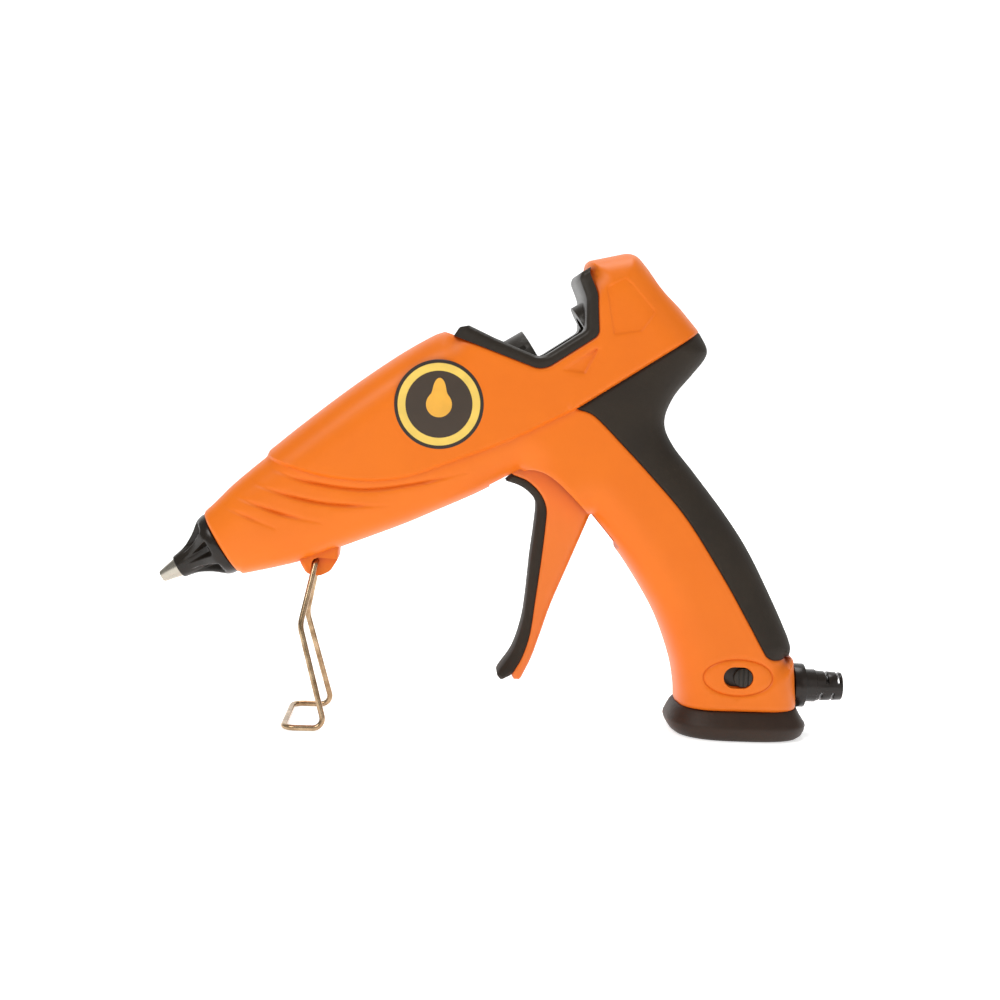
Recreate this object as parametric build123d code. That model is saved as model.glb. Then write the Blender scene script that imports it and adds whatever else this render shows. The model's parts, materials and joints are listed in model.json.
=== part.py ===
from build123d import *

import math
import os

# Full-size hot melt glue gun, nozzle towards -X, left side towards -Y, standing on its foot and wire stand.
# All sizes in millimetres. Stations along the barrel are (distance from the front face, height off the axis).

REACH = 120.8                # from the middle of the gun to the nozzle tip, and to the end of the strain relief
BARREL_TILT = 32.0           # barrel axis above the horizontal, degrees
FRONT = Vector(-98.85, 0, 61.8)   # centre of the casing's front face, on the barrel axis
WALL = 2.4                   # casing wall
PAD = 2.2                    # thickness of the soft grip
CHAMBER_R = 9.0              # melt chamber
CARRIAGE_R = 9.5             # feed carriage
CARRIAGE = (97.6, 112.0)     # carriage at rest, stations
FRONT_GUIDE_R = 11.5
REAR_END = 173.4             # outer end of the rear stick guide, station along the barrel
REAR_GUIDE_R = 9.8
GUIDE_BORE_R = 5.9           # bore of the two stick guides

PIVOT = (102.0, -22.0)       # trigger pivot: station, height off the barrel axis
PIVOT_R = 2.0                # pivot pin radius
SQUEEZE = 19.0               # trigger travel, degrees
FEED = 2 * -PIVOT[1] * math.tan(math.radians(SQUEEZE / 2))   # carriage travel along the barrel
PIN_STATION = PIVOT[0] + FEED / 2    # carriage pins at rest
PIN_R = 2.0
TRIGGER_HALF = 8.0           # half the width of the trigger blade
SLOT_HALF = 9.3              # half the width of the casing's trigger slot
ARM_IN, ARM_OUT = 10.2, 12.4  # the trigger's fork arms, distance from the middle plane

WIRE_R = 1.0                 # stand wire radius
WIRE_PIVOT = (-66.1, 56.7)   # wire stand hinge, X and Z
WIRE_FOLD = 105.0            # wire stand travel, degrees
LUG_HALF = 8.2               # half the width of the stand's lug

BASE_Z = 10.4                # underside of the casing, on top of the rubber foot
FOOT_HALF = 21.0             # half the width of the foot, the widest piece
SWITCH = (80.6, 22.4)        # switch slot centre, X and Z
KNOB_R = 3.2
KNOB_X = 82.3                # knob centre at rest, at the rear end of its slot
CORD_Z = 17.0                # height of the cord entry
CORD_R = 3.1                 # cord radius at the gland

# Casing screws, X and Z, driven from the right side.
SCREWS = [(-59.0, 66.0), (-71.5, 97.2), (-27.6, 127.0), (24.1, 119.8), (32.2, 159.6), (52.0, 58.0), (73.0, 40.0),
          (66.5, 17.5)]

CORE_HALF = 17.6             # half the width of the barrel and handle
UPPER_HALF = 19.1            # half the width of the upper shell
FACE_HALF = 12.4             # half the width at the front face

AXIS = Vector(math.cos(math.radians(BARREL_TILT)), 0, math.sin(math.radians(BARREL_TILT)))
UPWARD = Vector(-AXIS.Z, 0, AXIS.X)


def save(name, shape):
    os.makedirs("parts", exist_ok=True)
    export_step(shape, os.path.join("parts", name + ".step"))


def at(station, height=0.0):
    """X and Z of a point given along and above the barrel axis."""
    point = FRONT + AXIS * station + UPWARD * height
    return point.X, point.Z


def across(station):
    """Plane square to the barrel: its x is +Y and its y points up off the axis."""
    return Plane(origin=FRONT + AXIS * station, x_dir=(0, 1, 0), z_dir=AXIS)


def rod(start, end, radius):
    """Solid cylinder along the barrel axis between two stations."""
    return extrude(across(start) * Circle(radius), amount=end - start, dir=AXIS)


def tube(start, end, outer, inner):
    return rod(start, end, outer) - rod(start - 1, end + 1, inner)


def pin_y(x, z, radius, y0, y1):
    """Solid cylinder along Y."""
    return extrude(Plane(origin=(x, y0, z), x_dir=(1, 0, 0), z_dir=(0, 1, 0)) * Circle(radius), amount=y1 - y0)


def block(x0, x1, y0, y1, z0, z1):
    return Pos((x0 + x1) / 2, (y0 + y1) / 2, (z0 + z1) / 2) * Box(x1 - x0, y1 - y0, z1 - z0)


def barrel_block(s0, s1, y0, y1, h0, h1):
    """Box square to the barrel: stations, Y range and heights off the axis."""
    plane = across((s0 + s1) / 2)
    sketch = plane * (Pos((y0 + y1) / 2, (h0 + h1) / 2) * Rectangle(y1 - y0, h1 - h0))
    return extrude(sketch, amount=(s1 - s0) / 2, both=True)


def slab(outline, y0, y1):
    """Closed side outline, drawn as lines in (x, z), carried from y0 to y1."""
    face = make_face([edge for line in outline for edge in line.edges()])
    return Pos(0, y1, 0) * extrude(Plane.XZ * face, amount=y1 - y0, dir=(0, -1, 0))


def prism(corners, y0, y1):
    """Side polygon carried from y0 to y1."""
    return Pos(0, y1, 0) * extrude(Plane.XZ * Polygon(*corners, align=None), amount=y1 - y0, dir=(0, -1, 0))


def level(z):
    return Plane(origin=(0, 0, z), x_dir=(1, 0, 0), z_dir=(0, 0, 1))


def eight_sided(s0, s1, radius):
    """Eight-sided bar along the barrel whose flats touch a circle."""
    plane = Plane(origin=FRONT + AXIS * s0, x_dir=(0, 1, 0), z_dir=AXIS)
    return extrude(plane * RegularPolygon(radius, 8, major_radius=False), amount=s1 - s0)


def eight_sided_x(x0, x1, radius, z):
    """Eight-sided bar along X whose flats touch a circle."""
    plane = Plane(origin=(x0, 0, z), x_dir=(0, 1, 0), z_dir=(1, 0, 0))
    return extrude(plane * RegularPolygon(radius, 8, major_radius=False), amount=x1 - x0)


def pin_x(x0, x1, radius, z):
    """Solid cylinder along X."""
    return extrude(Plane(origin=(x0, 0, z), x_dir=(0, 1, 0), z_dir=(1, 0, 0)) * Circle(radius), amount=x1 - x0)


def pin_z(x, y, radius, z0, z1):
    """Solid cylinder along Z."""
    return extrude(level(z0) * (Pos(x, y) * Circle(radius)), amount=z1 - z0)


def plan(front_half, full_half, end_station):
    """Block that is narrow at the front and widens to full_half, seen from above the barrel."""
    plane = Plane(origin=FRONT - UPWARD * 150, x_dir=AXIS, z_dir=UPWARD)
    corners = [(-20, front_half), (0, front_half), (end_station, full_half), (260, full_half)]
    mirrored = [(station, -half) for station, half in reversed(corners)]
    return extrude(plane * Polygon(*corners, *mirrored, align=None), amount=300, dir=UPWARD)


def turned(profile):
    """Solid of revolution about the barrel axis from (station, radius) corners."""
    plane = Plane(origin=FRONT, x_dir=AXIS, z_dir=(0, -1, 0))
    return revolve(plane * Polygon(*profile, align=None), axis=Axis(FRONT, AXIS))


# ---------------------------------------------------------------- casing

STEP = [(-84.2, 93.6), (-73.3, 89.2), (-47.8, 85.8), (-19.5, 93.8), (0.2, 101.9), (20.8, 112.7)]
BEAK = (63.0, 140.7)          # where the upper shell's rear face meets the thumb web
TOP_REAR = (41.5, 164.6)      # top of the hump's slanting rear face
RECESS = [(-32.0, 139.6), (8.8, 125.6), (26.9, 137.9), (25.9, 151.4), (22.7, 158.5), (21.4, 163.5), (19.0, 178.0),
          (-32.0, 178.0)]
RECESS_RADII = [0.2, 7.0, 3.0, 9.0, 5.0, 2.0, 0.2, 0.2]
GROOVES = [((-80.1, 88.6), (-48.0, 82.6), (-15.5, 90.0)), ((-86.6, 83.3), (-65.0, 77.6), (-41.0, 77.6)),
           ((-93.4, 78.9), (-79.2, 73.7), (-63.5, 71.0)), ((-96.9, 75.2), (-88.6, 71.6), (-79.5, 68.4))]
GROOVE_WIDTH = 2.0
HUMP_FIELD = [(29.1, 153.8), (35.3, 157.4), (46.1, 146.2), (41.5, 138.6), (32.6, 136.9)]


def side_face():
    """Side view of the whole casing, from the front face over the top and down the grip."""
    lines = [
        Polyline([at(0, -12.2), at(0, 12.2), (-84.2, 92.2)]),
        ThreePointArc((-84.2, 92.2), (-55.9, 116.9), (-24.8, 137.5)),
        Polyline([(-24.8, 137.5), (22.6, 162.7)]),
        ThreePointArc((22.6, 162.7), (36.0, 167.6), TOP_REAR),
        Polyline([TOP_REAR, BEAK]),
        ThreePointArc(BEAK, (66.2, 134.6), (64.6, 128.8)),
        Polyline([(64.6, 128.8), (55.6, 117.4)]),
        ThreePointArc((55.6, 117.4), (52.8, 110.0), (55.4, 102.0)),
        ThreePointArc((55.4, 102.0), (84.8, 64.3), (101.3, 31.8)),
        Polyline([(101.3, 31.8), (104.0, BASE_Z), (61.6, BASE_Z)]),
        ThreePointArc((61.6, BASE_Z), (53.1, 40.7), (28.0, 75.6)),
        ThreePointArc((28.0, 75.6), (15.8, 87.0), (3.3, 89.9)),
        Polyline([(3.3, 89.9), (-25.9, 75.2), (-58.4, 61.4), (-90.1, 51.0), at(0, -12.2)]),
    ]
    return make_face([edge for line in lines for edge in line.edges()])


def upper_region():
    """Everything above the step, up to the hump's slanting rear face."""
    ahead = ThreePointArc(STEP[0], STEP[2], STEP[3])
    behind = ThreePointArc(STEP[3], STEP[4], STEP[5])
    rest = Polyline([STEP[-1], BEAK, (90, 150), (90, 195), (-112, 195), (-112, 110), STEP[0]])
    return slab([ahead, behind, rest], -40, 40)


def recess_face():
    """Side view of the V-shaped window in the top, with a rounded valley and corners."""
    return make_face(FilletPolyline(*RECESS, radius=RECESS_RADII, close=True))


def pad_region():
    """Side view of the soft grip: handle back, thumb web and its point under the hump."""
    bend = ThreePointArc((20.8, 112.7), (30.5, 108.4), (38.0, 100.6))
    back = ThreePointArc((38.0, 100.6), (64.6, 71.0), (89.2, 31.6))
    foot_arc = ThreePointArc((89.2, 31.6), (91.6, 28.8), (95.5, 28.0))
    rest = Polyline([(95.5, 28.0), (125, 29.5), (125, 175.2), BEAK, (20.8, 112.7)])
    return slab([bend, back, foot_arc, rest], -40, 40)


def lug():
    nose = Polyline([(-72.5, 60), (-71.2, 56.0), (-69.6, 53.2)])
    bottom = ThreePointArc((-69.6, 53.2), (-65.2, 51.8), (-61.3, 53.8))
    rear = Polyline([(-61.3, 53.8), (-58.9, 57.0), (-58.0, 66.0), (-72.5, 60)])
    return slab([nose, bottom, rear], -LUG_HALF, LUG_HALF)


def lug_pockets():
    """Side pockets that let the wire swing from its stop back under the barrel, and the hole for its ends."""
    x, z = WIRE_PIVOT
    gap, reach, depth = WIRE_R + 0.25, 20.0, 3.0
    down = math.radians(-101.2)
    folded = down + math.radians(WIRE_FOLD)
    middle = (down + folded) / 2
    start = (x + gap * math.sin(down), z - gap * math.cos(down))
    low = (start[0] + reach * math.cos(down), start[1] + reach * math.sin(down))
    end = (x - gap * math.sin(folded), z + gap * math.cos(folded))
    far = (end[0] + reach * math.cos(folded), end[1] + reach * math.sin(folded))
    back = (x - gap * math.cos(middle), z - gap * math.sin(middle))
    outline = [Polyline([low, start]), ThreePointArc(start, back, end), Polyline([end, far, low])]
    pocket = slab(outline, -30, -LUG_HALF + depth) + slab(outline, LUG_HALF - depth, 30)
    return pocket + pin_y(x, z, WIRE_R + 0.06, -LUG_HALF, LUG_HALF)


def engraving():
    """Arcs on the nose, a shallow field on the hump and the oval around the switch, as cutters."""
    cutters = []
    for start, (x, z), end in GROOVES:
        top = ThreePointArc(start, (x, z + GROOVE_WIDTH / 2), end)
        bottom = ThreePointArc(start, (x, z - GROOVE_WIDTH / 2), end)
        cutters.append(slab([top, bottom], -40, 40) - plan(FACE_HALF - 0.6, CORE_HALF - 0.6, 50))
    cutters.append(prism(HUMP_FIELD, -UPPER_HALF, -UPPER_HALF + 0.4))
    cutters.append(prism(HUMP_FIELD, UPPER_HALF - 0.4, UPPER_HALF))
    x, z = SWITCH
    ring = Plane.XZ * (Pos(x, z) * (Ellipse(12.1, 6.4) - Ellipse(11.3, 5.6)))
    cutters.append(Pos(0, -CORE_HALF + 0.5, 0) * extrude(ring, amount=3, dir=(0, -1, 0)))
    return cutters


def lead_notch(station):
    """Gap under the chamber, through which the heater's leads pass a ring and its rib."""
    return barrel_block(station - 1, station + 4, -5.5, 5.5, -16.5, -8)


def bosses():
    """Screw pillars, pivot pillars, cord clamp posts and the ribs that carry the melt chamber's rings."""
    pillars = [pin_y(x, z, 3.9, -18, 18) for x, z in SCREWS]
    pivot_x, pivot_z = at(*PIVOT)
    pillars += [pin_y(pivot_x, pivot_z, 4.4, -18, -ARM_OUT - 0.4), pin_y(pivot_x, pivot_z, 4.4, ARM_OUT + 0.4, 18)]
    posts = [block(CLAMP_X - 2.2, CLAMP_X + 2.2, y - 2.2, y + 2.2, 12, 20.2) for y in CLAMP_Y]
    ribs = [rod(s, s + 3, 30) - rod(s - 1, s + 4, 11.6) - lead_notch(s) for s in RING_STATIONS]
    return pillars + posts + ribs


def holes():
    """All the openings that are cut through the joined shell."""
    cuts = []
    for x, z in SCREWS:
        cuts += [pin_y(x, z, 3.2, 10.0, 30), pin_y(x, z, 1.5, 0, 11), pin_y(x, z, 1.28, -11.0, 0.5)]
    pivot_x, pivot_z = at(*PIVOT)
    cuts += [pin_y(pivot_x, pivot_z, PIVOT_R, -14.5, 14.5), pin_y(pivot_x, pivot_z, 4.1, -12.8, 12.8)]
    cuts.append(prism([(-8.0, 84.0), (-8.0, 104.0), (24.0, 108.0), (38.5, 92.0), (38.5, 64.0), (30.0, 60.0)],
                      -SLOT_HALF, SLOT_HALF))
    cuts += [rod(s - 0.05, s + 3.05, 11.6) for s in RING_STATIONS]
    cuts += [rod(-5, 3.5, 7.2), rod(96, 113, CARRIAGE_R + 0.4), rod(112.5, 126.3, FRONT_GUIDE_R + 0.05)]
    cuts += [rod(126, 146, 7.6), eight_sided(144, 182, REAR_GUIDE_R), eight_sided(REAR_END - 4.05, 184, 11.5)]
    cuts.append(barrel_block(90, 111.5, -6.0, 6.0, 6, 11.6))
    cuts += [eight_sided_x(98, 120, 5.25, CORD_Z), eight_sided_x(97.4, 99.2, 6.25, CORD_Z)]
    cuts.append(eight_sided_x(103.2, 120, 7.8, CORD_Z))
    cuts += [pin_z(CLAMP_X, y, 1.3, 14, 21) for y in CLAMP_Y]
    x, z = SWITCH
    cuts.append(extrude(Plane.XZ * (Pos(x, z) * SlotOverall(10.0, 7.1)), amount=30))
    cuts.append(block(71.6, 89.8, -15.7, -12, 18.1, 26.7))
    return cuts


def make_casings():
    """Both orange halves, still in one piece, and both soft grips."""
    side = side_face()
    body = slab([side], -CORE_HALF, CORE_HALF) & plan(FACE_HALF, CORE_HALF, 50)
    upper = slab([side], -UPPER_HALF, UPPER_HALF) & plan(FACE_HALF + 3.0, UPPER_HALF, 60) & upper_region()
    bed_side = offset(side, -PAD)
    region = pad_region()
    bed = slab([bed_side], -CORE_HALF + PAD, CORE_HALF - PAD)
    pads = (body & region) - bed - upper_region()
    cavity = slab([offset(side, -WALL)], -CORE_HALF + WALL, CORE_HALF - WALL)
    cavity = cavity & plan(FACE_HALF - WALL, CORE_HALF - WALL, 50)
    bed_cavity = slab([offset(side, -PAD - WALL)], -CORE_HALF + PAD + WALL, CORE_HALF - PAD - WALL)
    cavity = (cavity - region) + (bed_cavity & region)
    cavity = cavity - slab([offset(recess_face(), WALL)], -40, 40) - bosses()
    shell = (body - region) + (bed & region) + upper + lug() - cavity
    return shell - ([slab([recess_face()], -40, 40), lug_pockets()] + engraving() + holes()), pads


def biggest(shape):
    return max(shape.solids(), key=lambda solid: solid.volume)


def save_halves(name, shape):
    """A moulding in two halves that meet in the middle plane."""
    save(name.format("left"), biggest(shape & block(-150, 150, -40, 0, -5, 200)))
    save(name.format("right"), biggest(shape & block(-150, 150, 0, 40, -5, 200)))


def make_badge():
    """Thin round label on the left side."""
    return pin_y(-25.6, 112.6, 15.0, -UPPER_HALF - 0.4, -UPPER_HALF)


def make_trim():
    """Liner of the recess: a band along its side view, pierced by the stick guides."""
    face = recess_face()
    ends = Polygon((-21.0, 135.2), (-16.2, 139.4), (0, 146), (12, 160), (20.4, 160.2), (24.0, 160.2), (40, 150),
                   (40, 110), (-21, 110), align=None)
    band = (face - offset(face, -2.9)) & ends
    liner = slab([band], -UPPER_HALF + 0.2, UPPER_HALF - 0.2)
    return liner - rod(105, 127, FRONT_GUIDE_R + 0.05) - rod(120, 160, 7.55) - rod(143, 170, REAR_GUIDE_R + 0.05)


# ---------------------------------------------------------------- base

def make_foot():
    """Rubber foot: bevelled up to the casing, rounded into the sole."""
    faces = [level(z) * (Pos((x0 + x1) / 2, 0) * RectangleRounded(x1 - x0, 2 * half, 14.0))
             for z, x0, x1, half in [(0.0, 60.4, 106.2, 19.2), (5.0, 58.0, 107.6, FOOT_HALF),
                                     (BASE_Z, 59.6, 105.0, 17.6)]]
    return loft(faces[:2]) + loft(faces[1:]) - pin_x(102.5, 112, 7.9, CORD_Z)


def make_strain_relief():
    """Flanged gland with a slotted tail."""
    profile = [(97.6, CORD_R), (97.6, 6.2), (99.0, 6.2), (99.0, 5.2), (103.25, 5.2), (103.25, 7.75), (107.2, 7.75),
               (107.4, 5.8), (111.4, 5.8), (111.6, 5.4), (REACH, 4.9), (REACH, CORD_R)]
    gland = revolve(Plane(origin=(0, 0, CORD_Z), x_dir=(1, 0, 0), z_dir=(0, -1, 0)) * Polygon(*profile, align=None),
                    axis=Axis((0, 0, CORD_Z), (1, 0, 0)))
    for k in range(4):
        x = 112.6 + 2.1 * k
        side = 1 if k % 2 else -1
        gland = gland - block(x, x + 1.1, -7, 7, CORD_Z + side * 5 - 3.4, CORD_Z + side * 5 + 3.4)
    return gland


CLAMP_X = 91.8
CLAMP_Y = (-7.0, 7.0)
RING_STATIONS = (12, 54)


def make_clamp():
    bar = block(CLAMP_X - 1.8, CLAMP_X + 1.8, -9, 9, 20.2, 22.8)
    screws = []
    for y in CLAMP_Y:
        bar = bar - pin_z(CLAMP_X, y, 1.5, 15, 26)
        screws.append(pin_z(CLAMP_X, y, 1.3, 15, 22.8) + pin_z(CLAMP_X, y, 2.4, 22.8, 24.4))
    return bar, Compound(children=screws)


def make_switch():
    """Slide knob with its shutter plate, and the switch behind it."""
    x, z = KNOB_X, SWITCH[1]
    knob = pin_y(x, z, KNOB_R, -17.4, -15.3)
    for k in range(-1, 2):
        knob = knob - block(x + 1.6 * k - 0.3, x + 1.6 * k + 0.3, -18, -17.0, z - 4, z + 4)
    knob = knob + block(75.2, 89.4, -15.5, -14.3, 18.4, 26.4) + pin_y(x, z, 1.5, -14.4, -12.6)
    body = block(72.0, 88.4, -12.4, -4.0, 16.2, 28.4) - block(76.5, 85.5, -14, -11.0, z - 2, z + 2)
    for k in (-1, 1):
        body = body + block(80.2 + 4 * k - 1.2, 80.2 + 4 * k + 1.2, -8.4, -8.0, 28.3, 32.0)
    return knob, body


def make_terminal_block():
    body = block(82, 93, -6, 6, 33.2, 39.2)
    for y in (-3, 3):
        body = body - pin_z(85, y, 1.4, 36, 41) - pin_z(90, y, 1.4, 36, 41)
    return body


def make_leads():
    """Inner leads, on the right side of the handle, outside the trigger's fork."""
    knees = [(60.0, 8.6, 77.0), (42.0, 9.6, 94.0)]
    for station, height, y in [(116, -10, 13.9), (92, -12, 13.9), (74, -16.5, 9.6), (62.5, -13.6, 4.0)]:
        x, z = at(station, height)
        knees.append((x, y, z))
    end_x, end_z = at(57.7, -11.5)
    heater = [(84.4, -8.2, 32.2), (84.0, -6.0, 44.0), (72.0, 5.0, 61.0)] + knees + [(end_x, 3.0, end_z)]
    neutral = [(85.0, 3.0, 39.3), (84.0, 4.0, 47.0), (72.5, 8.0, 58.0)]
    neutral += [(x + 0.6, y, z - 2.4) for x, y, z in knees]
    neutral += [(end_x, -3.0, end_z)]
    bridge = [(76.2, -8.2, 32.1), (79.2, -7.4, 41.0), (86.0, -5.0, 46.0), (90.0, -3.0, 39.3)]
    return Compound(children=[cable(points, 0.8) for points in (heater, neutral, bridge)])


def cable(points, radius):
    """Round wire along straight runs joined by tangent arcs, each as large as its runs allow."""
    corners = [Vector(*p) for p in points]
    radii = []
    for before, here, after in zip(corners, corners[1:], corners[2:]):
        turn = math.radians((here - before).get_angle(after - here))
        run = min((here - before).length, (after - here).length)
        radii.append(0.42 * run / math.tan(turn / 2))
    path = FilletPolyline(*corners, radius=radii)
    return sweep(Plane(origin=path @ 0, z_dir=path % 0) * Circle(radius), path=path)


def make_stand():
    """Bent wire stand: ends in the lug's hole, legs that splay, and a loop that lies on the bench."""
    x, z = WIRE_PIVOT
    side = [(x, 3.0, z), (x, 7.3, z), (-70.3, 14.4, 35.4), (-60.6, 18.4, WIRE_R), (-74.9, 18.8, WIRE_R)]
    points = [(px, -py, pz) for px, py, pz in side] + side[::-1]
    radii = [2.0, 9.0, 3.2, 4.0]
    path = FilletPolyline(*points, radius=radii + radii[::-1])
    return sweep(Plane(origin=path @ 0, z_dir=path % 0) * Circle(WIRE_R), path=path)


# ---------------------------------------------------------------- trigger

PAD_FACE = [(-1.6, 86.5), (2.9, 85.4), (6.3, 83.3), (8.9, 80.4), (9.6, 77.5), (9.0, 70.0), (8.1, 59.9), (7.1, 45.7),
            (5.9, 36.6), (3.1, 27.4), (-1.6, 20.2)]
BLADE_FACE = [(1.2, 88.9), (6.2, 86.9), (10.5, 82.8), (12.8, 77.5), (12.5, 70.0), (11.7, 60.0), (10.2, 45.8),
              (8.8, 33.7), (6.4, 25.5), (2.8, 18.7)]
BLADE_BACK = [(6.5, 17.9), (9.7, 24.9), (12.4, 33.2), (16.0, 44.7), (21.7, 59.3), (28.0, 75.6)]


def make_trigger():
    """Blade, hub and the two fork arms that push the carriage's pins."""
    bottom = ThreePointArc(BLADE_FACE[-1], (4.3, 16.3), BLADE_BACK[0])
    top = Polyline([BLADE_BACK[-1], (30.4, 82.2), (8.0, 101.2), (-3.6, 100.6), (-5.2, 95.6), (-3.2, 91.2),
                    BLADE_FACE[0]])
    blade = slab([Spline(BLADE_FACE), bottom, Spline(BLADE_BACK), top], -TRIGGER_HALF, TRIGGER_HALF)
    x, z = at(*PIVOT)
    lean = math.radians(SQUEEZE / 2)
    out = AXIS * math.sin(lean) + UPWARD * math.cos(lean)
    wide = AXIS * math.cos(lean) - UPWARD * math.sin(lean)

    def corner(along, aside):
        point = out * along + wide * aside
        return x + point.X, z + point.Z

    arm = prism([corner(0, -3.6), corner(16, -4.6), corner(25, -4.6), corner(25, 4.6), corner(16, 4.6),
                 corner(0, 3.6)], -ARM_OUT, ARM_OUT)
    slot = prism([corner(18.8, -PIN_R - 0.2), corner(30, -PIN_R - 0.2), corner(30, PIN_R + 0.2),
                  corner(18.8, PIN_R + 0.2)], -20, 20)
    inside = prism([corner(6, -12), corner(40, -12), corner(40, 12), corner(6, 12)], -ARM_IN, ARM_IN)
    trigger = blade + pin_y(x, z, 3.6, -ARM_OUT, ARM_OUT) + (arm - slot - inside)
    return trigger - pin_y(x, z, PIVOT_R + 0.05, -20, 20)


def make_trigger_pad():
    tip = ThreePointArc(PAD_FACE[-1], (-1.0, 17.4), (1.9, 17.5))
    ends = [Polyline([(1.9, 17.5), BLADE_FACE[-1]]), Polyline([BLADE_FACE[0], PAD_FACE[0]])]
    return slab([Spline(PAD_FACE), tip, Spline(BLADE_FACE)] + ends, -TRIGGER_HALF + 0.2, TRIGGER_HALF - 0.2)


# ---------------------------------------------------------------- barrel inside

def make_nozzle():
    tip = (-REACH - FRONT.X + 1.7 * AXIS.Z) / AXIS.X
    return turned([(tip, 0.9), (tip, 1.7), (-19.6, 3.3), (-8.5, 3.3), (-8.5, 5.4), (-2.5, 5.4), (-2.5, 4.0),
                   (8.5, 4.0), (8.5, 0.9)])


def make_boot():
    """Silicone boot: a thin neck on the nozzle that flares to a flange against the casing."""
    return turned([(-19.6, 3.32), (-19.6, 3.7), (-15.0, 4.6), (-11.5, 5.7), (-8.5, 7.4), (-6.0, 9.2), (-4.4, 10.8),
                   (-3.4, 11.2), (-0.05, 11.6), (-0.05, 7.1), (3.4, 7.1), (3.4, 5.5), (-9.0, 5.5), (-9.8, 3.32)])


def make_chamber():
    shape = turned([(3.9, 4.03), (3.9, 6.8), (8.0, CHAMBER_R), (58, CHAMBER_R), (58, 7.2), (66, 7.2), (66, 5.75),
                    (22, 5.75), (12, 2.0), (9.5, 2.0), (9.5, 4.03)])
    shape = shape + (barrel_block(20, 50, -7, 7, -13.6, -5) - rod(10, 60, 7.0))
    return shape - barrel_block(19, 51, -5, 5, -13, -10)


def make_rings():
    """Insulating rings that hold the chamber in the casing's ribs, open below for the leads."""
    rings = [tube(s, s + 3, 11.55, CHAMBER_R + 0.05) - lead_notch(s) for s in RING_STATIONS]
    return Compound(children=rings)


def make_heater():
    heater = barrel_block(21, 49, -4.9, 4.9, -12.9, -10.1)
    for y in (-3, 3):
        heater = heater + barrel_block(48, 57, y - 1.2, y + 1.2, -11.9, -11.1)
    return heater


def make_spring():
    """Compression spring around the stick, between the sleeve and the carriage."""
    start, length, wire = 86.7, 10.4, 0.4
    coil = Helix(pitch=length / 3.25, height=length, radius=8.2)
    coil = across(start).location * coil
    return sweep(Plane(origin=coil @ 0, z_dir=coil % 0) * Circle(wire), path=coil, is_frenet=True)


def make_carriage():
    start, end = CARRIAGE
    ring = tube(start, end, CARRIAGE_R, 6.4)
    x, z = at(PIN_STATION)
    pins = pin_y(x, z, PIN_R, -13.0, 13.0) - rod(start - 1, end + 5, 6.4)
    ears = barrel_block(103.6, 110.6, -5.6, 5.6, 7.0, 11.0)
    carriage = ring + pins + ears - barrel_block(98.4, 111.2, -3.5, 3.5, 4.0, 13.0)
    return carriage - pin_y(*at(107.6, 9.2), 1.25, -10, 10)


def make_jaw():
    """Toothed jaw that tips down onto the stick."""
    teeth = []
    for k in range(4):
        s = 99.2 + 2.0 * k
        teeth.append([(s, 7.0), (s, 6.1), (s + 1.6, 7.0)])
    jaw = barrel_block(99.2, 110.4, -3.1, 3.1, 7.0, 10.9)
    for tooth in teeth:
        jaw = jaw + prism([at(*corner) for corner in tooth], -3.1, 3.1)
    return jaw + pin_y(*at(107.6, 9.2), 1.2, -5.6, 5.6)


def make_front_guide():
    """Windowed collar and the open channel that carries the stick on to the rear guide."""
    collar = tube(113.6, 126.2, FRONT_GUIDE_R, 6.1)
    channel = (rod(126, 144.6, 7.5) - rod(125, 146, 6.1)) & barrel_block(125, 146, -9, 9, -9, -0.2)
    windows = []
    for side in (-1, 1):
        for height in (-3.4, 1.2, 5.6):
            windows.append(barrel_block(119.0, 124.2, side * 13 - 4, side * 13 + 4, height, height + 2.4))
    return collar + channel - Compound(children=windows)


def make_rear_guide():
    guide = tube(145.0, REAR_END, REAR_GUIDE_R, GUIDE_BORE_R) + tube(REAR_END - 4.0, REAR_END, 11.5, GUIDE_BORE_R)
    windows = []
    for side in (-1, 1):
        for height in (-2.8, 2.6):
            windows.append(barrel_block(147.0, 152.0, side * 11 - 3.4, side * 11 + 3.4, height, height + 3.2))
    return guide - Compound(children=windows)


def make_screws():
    screws = []
    for x, z in SCREWS:
        head = pin_y(x, z, 2.8, 10.0, 12.2) - block(x - 2, x + 2, 11.4, 13, z - 0.35, z + 0.35)
        screws.append(head + pin_y(x, z, 1.25, -10.0, 10.0))
    return Compound(children=screws)


shell, pads = make_casings()
save_halves("{}_casing", shell)
save_halves("grip_pad_{}", pads)
save("badge", make_badge())
save("recess_trim", make_trim())
save("rubber_foot", make_foot())
save("strain_relief", make_strain_relief())
clamp, clamp_screws = make_clamp()
save("cord_clamp", clamp)
save("clamp_screws", clamp_screws)
knob, switch_body = make_switch()
save("switch_knob", knob)
save("switch_body", switch_body)
save("terminal_block", make_terminal_block())
save("power_leads", make_leads())
save("wire_stand", make_stand())
save("trigger", make_trigger())
save("trigger_pad", make_trigger_pad())
save("trigger_pivot_pin", pin_y(*at(*PIVOT), PIVOT_R, -14.3, 14.3))
save("nozzle", make_nozzle())
save("nozzle_boot", make_boot())
save("melt_chamber", make_chamber())
save("heater_element", make_heater())
save("chamber_rings", make_rings())
save("feed_sleeve", turned([(58.3, 7.25), (58.3, 9.0), (86.2, 9.0), (86.2, 5.8), (66.2, 5.8), (66.2, 7.25)]))
save("sleeve_clamp", tube(60.5, 63.5, 9.9, 9.05))
save("return_spring", make_spring())
save("feed_carriage", make_carriage())
save("gripper_jaw", make_jaw())
save("front_stick_guide", make_front_guide())
save("rear_stick_guide", make_rear_guide())
save("casing_screws", make_screws())
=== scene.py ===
import json
import math

import bpy
import bmesh
import numpy as np
from mathutils import Matrix, Vector
from mathutils.geometry import delaunay_2d_cdt

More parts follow.
